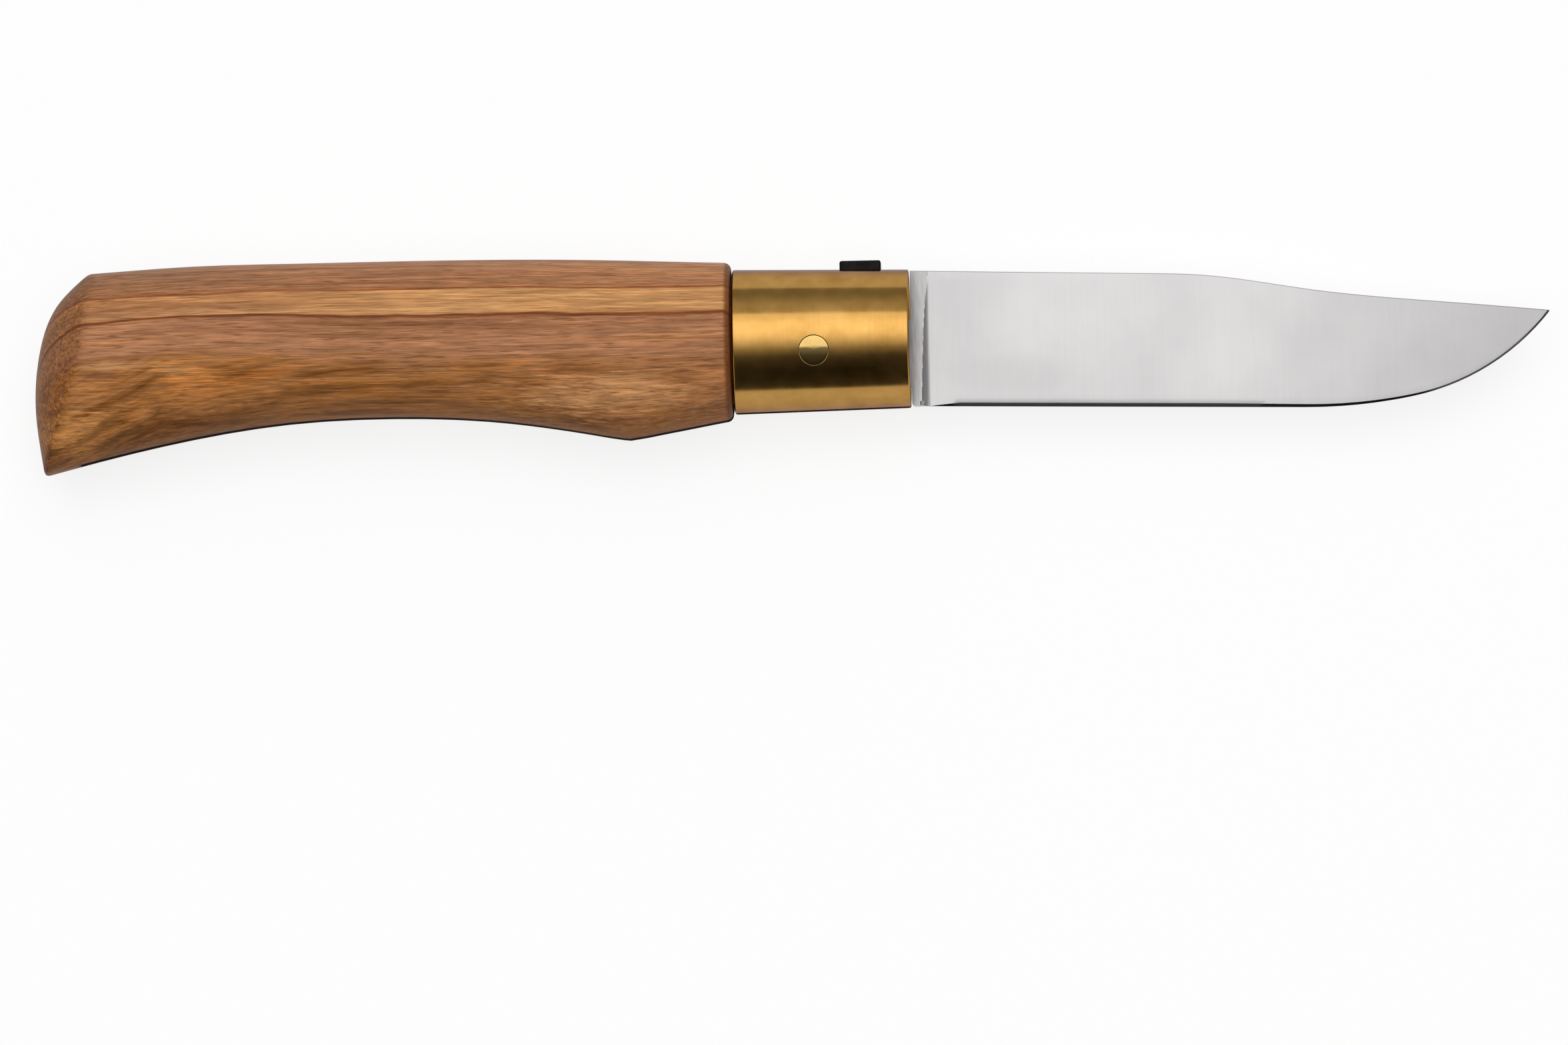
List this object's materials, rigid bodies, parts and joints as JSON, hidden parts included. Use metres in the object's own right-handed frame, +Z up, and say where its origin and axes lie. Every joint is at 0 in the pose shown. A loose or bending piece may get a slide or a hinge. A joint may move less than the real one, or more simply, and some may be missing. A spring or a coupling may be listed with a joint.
{
  "type": "folding pocket knife",
  "caption": "Folding pocket knife with an oval wooden handle, a tapered brass collar round a turning lock ring, and a flat ground blade that folds into a slot in the handle.",
  "frame": {"origin": "centre of the open knife's bounding box, on the plane it lies on", "axes": "+X along the collar's axis from the butt to the tip, +Y towards the spine, +Z up through the thickness"},
  "size_m": [0.1902, 0.0262, 0.02],
  "materials": {
    "handle_wood": "oiled olive wood, satin",
    "collar_brass": "brushed round the axis, satin",
    "rivet_brass": "filed flush, satin",
    "ring_steel": "plain turned steel",
    "tab_black": "black oxide steel",
    "blade_steel": "satin, brushed across the blade"
  },
  "bodies": {
    "handle_body": {"handle": "handle_wood", "ferrule": "collar_brass", "pivot_rivet": "rivet_brass"},
    "blade_body": {"blade": "blade_steel"},
    "lock_body": {"lock_ring": "ring_steel", "lock_tab": "tab_black"}
  },
  "joints": [
    {"name": "blade_fold", "type": "hinge", "parent": "handle_body", "child": "blade_body", "pos_m": [0.00301, 0.00004, 0.01], "axis": [0, 0, -1], "range_deg": [0, 180]},
    {"name": "lock_turn", "type": "hinge", "parent": "handle_body", "child": "lock_body", "pos_m": [0.00951, 0.00204, 0.01], "axis": [-1, 0, 0], "range_deg": [0, 40]}
  ]
}
